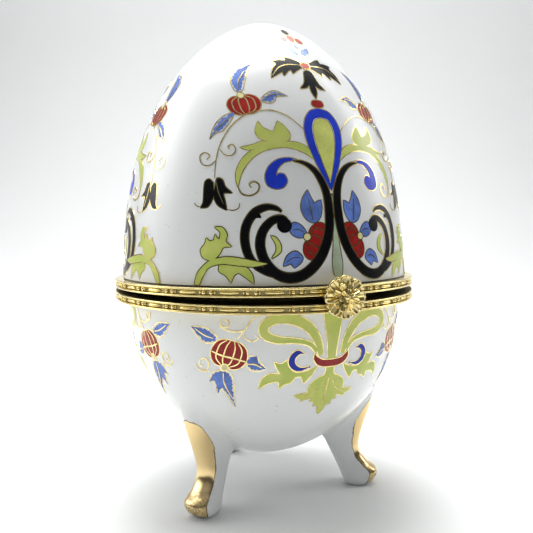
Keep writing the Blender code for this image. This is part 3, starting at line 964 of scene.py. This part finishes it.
TOE_CREASE = (5.6, 0.8, 0.35)  # height, half width, depth
FLARE_OUTSIDE = 0.8
FLARE_INSIDE = 0.25
LUSTRE_TOP = 24.2
LUSTRE_ARCH = 6.3
LUSTRE_BOTTOM = 0.8
LUSTRE_TURN = math.radians(62)
JOINT_SOFTNESS = 1.6


def off_bowl(point):
    """(distance of a point from the bowl's outer face, direction away from it)"""
    rise, power = BOWL.powers
    depth = BOWL_RIM_Z - BOWL_BOTTOM_Z
    out = math.hypot(point.x, point.y)
    a, b = out / BOWL_RADIUS, max(1e-4, (BOWL_RIM_Z - point.z) / depth)
    slope = Vector((power * a ** (power - 1) / BOWL_RADIUS, -rise * b ** (rise - 1) / depth))
    away = Vector((point.x / out * slope.x, point.y / out * slope.x, slope.y))
    return (a**power + b**rise - 1) / away.length, away.normalized()


def foot_level(share):
    """The leg's level at a share of its height, smooth through the levels above"""
    spot = share * (len(FOOT_LEVELS) - 1)
    low = min(int(spot), len(FOOT_LEVELS) - 2)
    t = spot - low
    rows = [FOOT_LEVELS[max(0, min(len(FOOT_LEVELS) - 1, low + step))] for step in (-1, 0, 1, 2)]
    level = []
    for p0, p1, p2, p3 in zip(*rows):
        cubic = 3 * (p1 - p2) + p3 - p0
        square = 2 * p0 - 5 * p1 + 4 * p2 - p3
        level.append(p1 + 0.5 * t * (p2 - p0 + t * (square + t * cubic)))
    return level


def foot_mesh(azimuth, lean):
    """A cabriole leg: rings bridged from sole to bowl, flared where it grows out of the bowl"""
    bm = bmesh.new()
    lustre = bm.verts.layers.float.new("lustre")
    height = bm.verts.layers.float.new("height")
    rings = []
    fillet = sizes().foot_fillet
    crease_z, crease_width, crease_depth = TOE_CREASE
    for index in range(FOOT_RINGS):
        z, inner, outer, half = foot_level(index / (FOOT_RINGS - 1))
        middle, reach = (inner + outer) / 2, (outer - inner) / 2
        made = bmesh.ops.create_circle(bm, segments=FOOT_SIDES, radius=1.0)["verts"]
        for vert in made:
            turn = abs(math.atan2(vert.co.x, -vert.co.y))
            across = math.copysign(abs(vert.co.x) ** FOOT_SQUARENESS, vert.co.x)
            along = math.copysign(abs(vert.co.y) ** FOOT_SQUARENESS, vert.co.y)
            crease = crease_depth * math.exp(-(((z - crease_z) / crease_width) ** 2)) * max(0.0, -along)
            x = half * across + z * math.tan(math.radians(lean))
            place = Vector((x, -(middle - reach * along) + crease, max(z, 0.0)))
            gap, away = off_bowl(place)
            if gap < fillet:
                short = 1 - max(gap, 0.0) / fillet
                spread = place - Vector((0, -middle, z))
                spread -= away * spread.dot(away)
                flare = fillet * (FLARE_OUTSIDE - (FLARE_OUTSIDE - FLARE_INSIDE) * max(0.0, along))
                place += spread.normalized() * flare * (1 - math.sqrt(max(0.0, 1 - short * short)))
                place -= away * max(0.0, off_bowl(place)[0] - gap)
            vert.co = place
            front = (LUSTRE_TURN - turn) * half
            arch = (LUSTRE_TOP - LUSTRE_ARCH * (turn / LUSTRE_TURN) ** 2.6 - z) * 0.8
            vert[lustre] = min(front, arch, z - LUSTRE_BOTTOM)
            vert[height] = z
        rings.append({edge for vert in made for edge in vert.link_edges})
    for low, high in zip(rings, rings[1:]):
        bmesh.ops.bridge_loops(bm, edges=list(low | high))
    bmesh.ops.holes_fill(bm, edges=[edge for edge in bm.edges if edge.is_boundary], sides=0)
    bmesh.ops.recalc_face_normals(bm, faces=bm.faces)
    inside = [vert for vert in bm.verts if off_bowl(vert.co)[0] < -FOOT_ROOT]
    bmesh.ops.delete(bm, geom=inside, context="VERTS")
    round_axis = Matrix.Rotation(math.radians(azimuth), 3, "Z")
    bmesh.ops.rotate(bm, cent=(0, 0, 0), matrix=round_axis, verts=bm.verts)
    return bm


def blend_into_bowl(mesh):
    """Turns a leg's normals towards the bowl's where the two meet, so that no seam shows"""
    normals = []
    for vert in mesh.vertices:
        gap, away = off_bowl(vert.co / MM)
        share = max(0.0, min(1.0, 1 - gap / JOINT_SOFTNESS))
        share *= share * (3 - 2 * share)
        normals.append(vert.normal.lerp(away, share).normalized())
    mesh.normals_split_custom_set_from_vertices(normals)


WIRE = 0.24
RECESS_DEPTH = 0.75


def rim_face(bottom, top):
    """The outer face of a rim, bottom to top: a round wire, a groove, the beaded band, groove, wire"""
    band = RIM_RADIUS - RECESS_DEPTH
    return (
        arc((RIM_RADIUS - WIRE, bottom + WIRE), WIRE, -90, 80, 7)
        + [(band + 0.15, bottom + 0.50), (band, bottom + 0.60)]
        + [(band, top - 0.60), (band + 0.15, top - 0.50)]
        + arc((RIM_RADIUS - WIRE, top - WIRE), WIRE, -80, 90, 7)
    )


def shade_rim_recesses(bm, bottom):
    """Paints shade on a rim: the neck and the faces that meet at the gap get a dark painted shade, the
    recess behind the beads a lighter painted shade
    """
    for face in bm.faces:
        middle = face.calc_center_median()
        reach, rise = math.hypot(middle.x, middle.y), middle.z - bottom
        at_gap = abs(middle.z - LOWER_RIM_BOTTOM - RIM_HEIGHT - RIM_GAP / 2) < RIM_GAP / 2 + 0.2
        # painted shade: the neck and the faces at the gap take the dark shaded gilt, slot 1
        if reach < RIM_RADIUS - 4.0 or (at_gap and reach < RIM_RADIUS - 0.6):
            face.material_index = 1
        # lighter painted shade in the recess behind the beads, slot 2
        elif reach < RIM_RADIUS - 0.55 and 0.4 < rise < RIM_HEIGHT - 0.4:
            face.material_index = 2
    return bm


REPEATS = 25
MOULDING_INSET = 0.62
BEAD_RADIUS = 0.52
BEAD_OFFSET = 0.88
REEL_RADIUS = 0.40
REEL_REACH = 2.2
REEL_BLUNTNESS = 0.6
COLLAR_RADIUS = 0.5
COLLAR_OFFSET = 1.75


def beads_and_reels(name, middle, body, ajar):
    """The cast moulding of a rim: pairs of beads between long reels, all round"""
    bm = bmesh.new()
    radius = RIM_RADIUS - MOULDING_INSET

    def put(made, angle):
        turn = Matrix.Rotation(angle, 4, "Z") @ Matrix.Translation((0, -radius, middle))
        bmesh.ops.transform(bm, matrix=turn, verts=made)

    def ball(around, rings, size):
        return bmesh.ops.create_uvsphere(bm, u_segments=around, v_segments=rings, radius=size)["verts"]

    for index in range(REPEATS):
        angle = 2 * math.pi * index / REPEATS
        for side in (-1, 1):
            put(ball(10, 7, BEAD_RADIUS), angle + side * BEAD_OFFSET / radius)
            collar = ball(10, 7, COLLAR_RADIUS)
            bmesh.ops.scale(bm, vec=(0.5, 0.8, 0.8), verts=collar)
            put(collar, angle + side * COLLAR_OFFSET / radius)
        reel = ball(12, 13, REEL_RADIUS)
        bmesh.ops.rotate(bm, cent=(0, 0, 0), matrix=Matrix.Rotation(math.pi / 2, 3, "Y"), verts=reel)
        for vert in reel:
            share = abs(vert.co.x / REEL_RADIUS) ** REEL_BLUNTNESS
            vert.co.x = math.copysign(share, vert.co.x) * REEL_REACH
            vert.co.y += vert.co.x**2 / radius / 2
        put(reel, angle + math.pi / REPEATS)
    hand_over(name, bm, body, [gilt_material(name + "_gilt", 0.16, 0.6)], ajar=ajar)


PETALS = 8
PETAL_ROWS = (
    # turn in half petals, distance, length, width, height, lift
    (0, 2.95, 1.15, 1.0, 0.9, 0.3),
    (1, 3.0, 0.95, 0.55, 0.6, 0.2),
    (1, 1.95, 0.85, 0.62, 0.75, 0.8),
)
INNER_PETALS = 6
FLOWER_STRETCH = (1.27, 1.0, 1.2)
FLOWER_RISE = 2.3


def petal(bm, angle, distance, length, width, height, lift):
    """A cupped petal, rolled at the edge and ridged down its middle, pointing outward in XZ"""
    made = bmesh.ops.create_uvsphere(bm, u_segments=20, v_segments=14, radius=1.0)["verts"]
    for vert in made:
        along, across, out = vert.co.z, vert.co.x, vert.co.y
        rim = min(1.0, math.hypot(along, across)) ** 4
        ridge = math.exp(-((across / 0.16) ** 2))
        if out < 0:
            out = -(0.25 + 0.75 * max(rim, 0.7 * ridge)) * (1 - 0.75 * rim * rim)
        blunt = math.copysign(abs(along) ** 0.75, along)
        x = across * width * (1 + 0.22 * along)
        vert.co = Vector((x, out * height - lift, distance + blunt * length))
    bmesh.ops.rotate(bm, cent=(0, 0, 0), matrix=Matrix.Rotation(angle, 3, "Y"), verts=made)


def rosette_mesh():
    """The cast flower: a back plate, broad petals with narrow ones between, and a starred eye"""
    bm = bmesh.new()
    plate = bmesh.ops.create_cone(
        bm, cap_ends=True, segments=48, radius1=3.1, radius2=2.9, depth=0.5,
        matrix=Matrix.Rotation(math.pi / 2, 4, "X"),
    )["verts"]
    bmesh.ops.translate(bm, vec=(0, -0.25, 0), verts=plate)
    for index in range(PETALS):
        for offset, *shape in PETAL_ROWS:
            petal(bm, 2 * math.pi * (index + offset / 2) / PETALS, *shape)
    for index in range(INNER_PETALS):
        petal(bm, 2 * math.pi * index / INNER_PETALS + 0.3, 1.0, 0.6, 0.42, 0.55, 1.15)
    eye = bmesh.ops.create_uvsphere(bm, u_segments=20, v_segments=12, radius=0.5)["verts"]
    bmesh.ops.translate(bm, vec=(0, -1.15, 0), verts=eye)
    bmesh.ops.scale(bm, vec=FLOWER_STRETCH, verts=bm.verts)
    return bm


# Operators -------------------------------------------------------------------------------------


class TRINKET_OT_porcelain(bpy.types.Operator):
    """Turn the domed lid and the bowl in glazed porcelain"""

    bl_idname = "trinket.porcelain"
    bl_label = "Lid and bowl"

    def execute(self, context):
        porcelain_shell("lid_porcelain", LID, "lid", "lid_shell", True)
        porcelain_shell("bowl_porcelain", BOWL, "base", "base_bowl", False)
        return {"FINISHED"}


class TRINKET_OT_feet(bpy.types.Operator):
    """Model the three curved feet and gild their fronts"""

    bl_idname = "trinket.feet"
    bl_label = "Feet"

    def execute(self, context):
        for node, azimuth in FOOT_AZIMUTHS.items():
            material = lustre_material(node + "_lustre")
            leg = hand_over(
                node + "_gilded", foot_mesh(azimuth, FOOT_LEANS[node]), "base",
                [material], replaces=[node], smooth=180,
            )
            blend_into_bowl(leg.data)
        return {"FINISHED"}


class TRINKET_OT_rims(bpy.types.Operator):
    """Turn the two gilt rims and set their bead mouldings"""

    bl_idname = "trinket.rims"
    bl_label = "Rims"

    def execute(self, context):
        bottom = LOWER_RIM_BOTTOM
        top = bottom + RIM_HEIGHT
        neck = BOWL_RADIUS - WALL - FIT
        seat = BOWL_RADIUS + SEAT_FIT
        lip, crest = top + NECK_RISE - 0.2, top + NECK_RISE
        lower = rim_face(bottom, top) + [
            (neck, top), (neck, lip), (neck - 0.1, crest), (neck - SHEET + 0.1, crest),
            (neck - SHEET, lip), (neck - SHEET, top - CHANNEL_DEPTH), (neck, top - CHANNEL_DEPTH),
            (neck, top - SHEET), (seat, top - SHEET), (seat, bottom),
        ]
        bottom = top + RIM_GAP
        top = bottom + RIM_HEIGHT
        inner = LID.radius - WALL - FIT
        seat = LID.radius + SEAT_FIT
        flange = bottom + UPPER_FLANGE
        upper = rim_face(bottom, top) + [
            (seat, top), (seat, bottom + SHEET), (inner, bottom + SHEET),
            (inner, flange), (inner - SHEET, flange), (inner - SHEET, bottom),
        ]
        # Slots 1 and 2 are gilt darkened as painted shade: dark in the gap and the neck, lighter in the
        # recess behind the beads
        finishes = [
            gilt_material("rim_gilt", 0.12, 0.4),
            gilt_material("gap_shade_brass", 0.45, 0.5, 0.22),
            gilt_material("recess_shade_brass", 0.3, 0.6, 0.5),
        ]
        ring = shade_rim_recesses(turned(lower, 240), LOWER_RIM_BOTTOM)
        hand_over("lower_rim", ring, "base", finishes, replaces=["lower_bezel"])
        ring = shade_rim_recesses(turned(upper, 240), bottom)
        hand_over(
            "upper_rim", ring, "lid", finishes, replaces=["upper_bezel"], ajar=True
        )
        beads_and_reels("lower_rim_moulding", LOWER_RIM_BOTTOM + RIM_HEIGHT / 2, "base", False)
        beads_and_reels("upper_rim_moulding", bottom + RIM_HEIGHT / 2, "lid", True)
        return {"FINISHED"}


class TRINKET_OT_clasp(bpy.types.Operator):
    """Cast the flower clasp and finish the small metal pieces"""

    bl_idname = "trinket.clasp"
    bl_label = "Clasp and hinge"

    def execute(self, context):
        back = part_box("clasp_rosette")[1][1] / MM + 0.02
        bm = rosette_mesh()
        bmesh.ops.translate(bm, vec=(0, back, LOWER_RIM_BOTTOM + FLOWER_RISE), verts=bm.verts)
        hand_over(
            "flower_clasp", bm, "lid", [gilt_material("flower_gilt", 0.18, 0.8)],
            replaces=["clasp_rosette"], ajar=True, smooth=60,
        )
        fittings = gilt_material("fittings_gilt", 0.2, 0.5)
        wire = gilt_material("drawn_wire", 0.3, 0.9)
        cement = cement_material()
        finishes = {
            "hinge_lower_leaf": fittings, "hinge_upper_leaf": fittings,
            "clasp_tongue": fittings, "catch_keeper": fittings,
            "hinge_pin": wire, "clasp_rivet": wire,
            "lower_cement_bed": cement, "upper_cement_bed": cement,
        }
        for node, finish in finishes.items():
            for material_slot in frame["nodes"][node].material_slots:
                material_slot.material = finish
        return {"FINISHED"}


class TRINKET_OT_painting(bpy.types.Operator):
    """Paint the enamel ornament and its gold lines on lid and bowl"""

    bl_idname = "trinket.painting"
    bl_label = "Painted ornament"

    def execute(self, context):
        tints = colours()
        materials = {
            "royal_blue": enamel_material("royal_blue_enamel", tints.royal),
            "glaze_white": glaze_material("white_ground"),
            "leaf_green": leaf_material("leaf_green_enamel", tints.leaf, tints.tip),
            "heart_green": enamel_material("heart_green_enamel", tints.tip),
            "sage_green": enamel_material("sage_green_enamel", tints.sage),
            "scroll_black": enamel_material("scroll_black_enamel", tints.black, 0.5),
            "fruit_red": enamel_material("fruit_red_enamel", tints.red, 0.35),
            "leaf_blue": enamel_material("leaf_blue_enamel", tints.cornflower, 0.4),
            "crescent_blue": enamel_material("crescent_blue_enamel", shade(tints.royal, 0.6)),
            "eye_cream": enamel_material("eye_cream_enamel", tints.cream),
            "crown_pink": enamel_material("crown_pink_enamel", tints.pink),
            "crown_pale": enamel_material("crown_pale_enamel", tints.pale),
            "gold_lines": gold_line_material(),
        }
        lid = Palette(LID, "lid", "lid", True)
        for paint in (
            paint_teardrop, paint_scroll, paint_acanthus, paint_scroll_fruit,
            paint_shoulder, paint_crown, paint_corner_leaves,
        ):
            paint(lid)
        lid.hand_over(materials)
        bowl = Palette(BOWL, "bowl", "base", False)
        for paint in (paint_fleur, paint_bowl_fruit):
            paint(bowl)
        bowl.hand_over(materials)
        return {"FINISHED"}


# Camera: degrees round the object and down, millimetres for its place and lens
CAMERA_TURN = 25.19
CAMERA_DIP = 4.67
CAMERA_ROLL = -0.18
CAMERA_PLACE = (0.7, -178.1, 74.8)
CAMERA_LENS = 43.8

# Backdrop, in metres: a floor that sweeps up into a wall
BACKDROP_HALF_WIDTH = 2.0
BACKDROP_FRONT = -1.5
BACKDROP_BEND = 0.45
BACKDROP_CURVE = 0.35
BACKDROP_TOP = 1.6
BEND_STEPS = 8

SKY_COLOUR = (0.965, 0.985, 1.0, 1.0)
SKY_RISE = (0.05, 0.9)
SKY_STRENGTH = (0.04, 0.40)

# Lights, in metres: name, place, width and depth, power in watts, what it points at. Each is four
# discs inside one another, so that its reflection fades towards the edge.
OBJECT_MIDDLE = (0, 0, 0.06)
LIGHTS = (
    ("left_softbox", (-0.50, 0.06, 0.30), (0.60, 0.60), 1.4, OBJECT_MIDDLE),
    ("right_softbox", (0.48, 0.16, 0.30), (0.40, 0.50), 0.85, OBJECT_MIDDLE),
    ("top_softbox", (-0.04, 0.10, 0.52), (0.50, 0.40), 3.7, OBJECT_MIDDLE),
    ("backdrop_wash", (0.0, 0.20, 0.75), (1.8, 0.40), 5.3, (0, 0.8, 0.1)),
)
LIGHT_DISCS = (1.0, 0.8, 0.6, 0.4)
DISC_SETBACK = 0.02


def backdrop_mesh():
    """The swept sheet, before it is turned towards the camera"""
    sweep = [(BACKDROP_FRONT, 0.0), (BACKDROP_BEND, 0.0)]
    for step in range(1, BEND_STEPS + 1):
        turn = math.pi / 2 * step / BEND_STEPS
        out, up = BACKDROP_CURVE * math.sin(turn), BACKDROP_CURVE * (1 - math.cos(turn))
        sweep.append((BACKDROP_BEND + out, up))
    sweep.append((BACKDROP_BEND + BACKDROP_CURVE, BACKDROP_TOP))
    bm = bmesh.new()
    start = [bm.verts.new((-BACKDROP_HALF_WIDTH, y, z)) for y, z in sweep]
    edges = [bm.edges.new(pair) for pair in zip(start, start[1:])]
    out = bmesh.ops.extrude_edge_only(bm, edges=edges)
    moved = [item for item in out["geom"] if isinstance(item, bmesh.types.BMVert)]
    bmesh.ops.translate(bm, vec=(2 * BACKDROP_HALF_WIDTH, 0, 0), verts=moved)
    return bm


def sky():
    """A soft world light that grows from dim at the horizon to bright overhead"""
    world = bpy.data.worlds.new("studio_world")
    world.use_nodes = True
    nodes, links = world.node_tree.nodes, world.node_tree.links
    background = nodes["Background"]
    background.inputs["Color"].default_value = SKY_COLOUR
    compass = nodes.new("ShaderNodeTexCoord")
    axes = nodes.new("ShaderNodeSeparateXYZ")
    rise = nodes.new("ShaderNodeMapRange")
    rise.interpolation_type = "SMOOTHSTEP"
    for socket, value in zip(rise.inputs[1:5], SKY_RISE + SKY_STRENGTH):
        socket.default_value = value
    links.new(compass.outputs["Generated"], axes.inputs[0])
    links.new(axes.outputs["Z"], rise.inputs[0])
    links.new(rise.outputs[0], background.inputs["Strength"])
    return world


class TRINKET_OT_studio(bpy.types.Operator):
    """Set the camera, the pale backdrop and the soft lights"""

    bl_idname = "trinket.studio"
    bl_label = "Studio"

    def execute(self, context):
        scene = context.scene
        turn = Matrix.Rotation(math.radians(-CAMERA_TURN), 4, "Z")
        data = bpy.data.cameras.new("studio_camera")
        data.lens = CAMERA_LENS
        data.sensor_width = 36
        data.clip_start = 0.01
        camera = add_to_scene("studio_camera", data)
        dip = Matrix.Rotation(math.radians(90 - CAMERA_DIP), 4, "X")
        roll = Matrix.Rotation(math.radians(CAMERA_ROLL), 4, "Z")
        camera.matrix_world = turn @ Matrix.Translation(Vector(CAMERA_PLACE) * MM) @ dip @ roll
        scene.camera = camera

        bm = backdrop_mesh()
        bmesh.ops.transform(bm, matrix=turn, verts=bm.verts)
        mesh = bpy.data.meshes.new("backdrop")
        bm.to_mesh(mesh)
        bm.free()
        mesh.shade_smooth()
        mesh.materials.append(backdrop_material())
        add_to_scene("backdrop", mesh)

        scene.world = sky()
        for name, place, size, power, target in LIGHTS:
            for share in LIGHT_DISCS:
                lamp = bpy.data.lights.new(name, "AREA")
                lamp.shape = "ELLIPSE"
                lamp.size, lamp.size_y = size[0] * share, size[1] * share
                lamp.energy = power * share / sum(LIGHT_DISCS)
                spot = Vector(place) * (2.0 - share) ** DISC_SETBACK
                aim = (Vector(target) - spot).to_track_quat("-Z", "Y").to_matrix().to_4x4()
                add_to_scene(name, lamp).matrix_world = turn @ Matrix.Translation(spot) @ aim
        scene.view_settings.view_transform = "Standard"
        return {"FINISHED"}


class TRINKET_PT_box(bpy.types.Panel):
    bl_label = "Trinket Box"
    bl_idname = "TRINKET_PT_box"
    bl_space_type = "VIEW_3D"
    bl_region_type = "UI"
    bl_category = "Trinket Box"

    def draw(self, context):
        layout = self.layout
        for group in (context.scene.trinket_sizes, context.scene.trinket_colours):
            for name in group.__annotations__:
                layout.prop(group, name)
        for operator in OPERATORS:
            layout.operator(operator.bl_idname)


OPERATORS = (
    TRINKET_OT_porcelain,
    TRINKET_OT_feet,
    TRINKET_OT_rims,
    TRINKET_OT_clasp,
    TRINKET_OT_painting,
    TRINKET_OT_studio,
)
CLASSES = (TrinketBoxSizes, TrinketBoxColours, TRINKET_PT_box) + OPERATORS


def register():
    for cls in CLASSES:
        bpy.utils.register_class(cls)
    bpy.types.Scene.trinket_sizes = PointerProperty(type=TrinketBoxSizes)
    bpy.types.Scene.trinket_colours = PointerProperty(type=TrinketBoxColours)


def unregister():
    del bpy.types.Scene.trinket_colours
    del bpy.types.Scene.trinket_sizes
    for cls in reversed(CLASSES):
        bpy.utils.unregister_class(cls)


def main():
    register()
    bpy.ops.trinket.porcelain()
    bpy.ops.trinket.feet()
    bpy.ops.trinket.rims()
    bpy.ops.trinket.clasp()
    bpy.ops.trinket.painting()
    bpy.ops.trinket.studio()


if __name__ == "__main__":
    main()
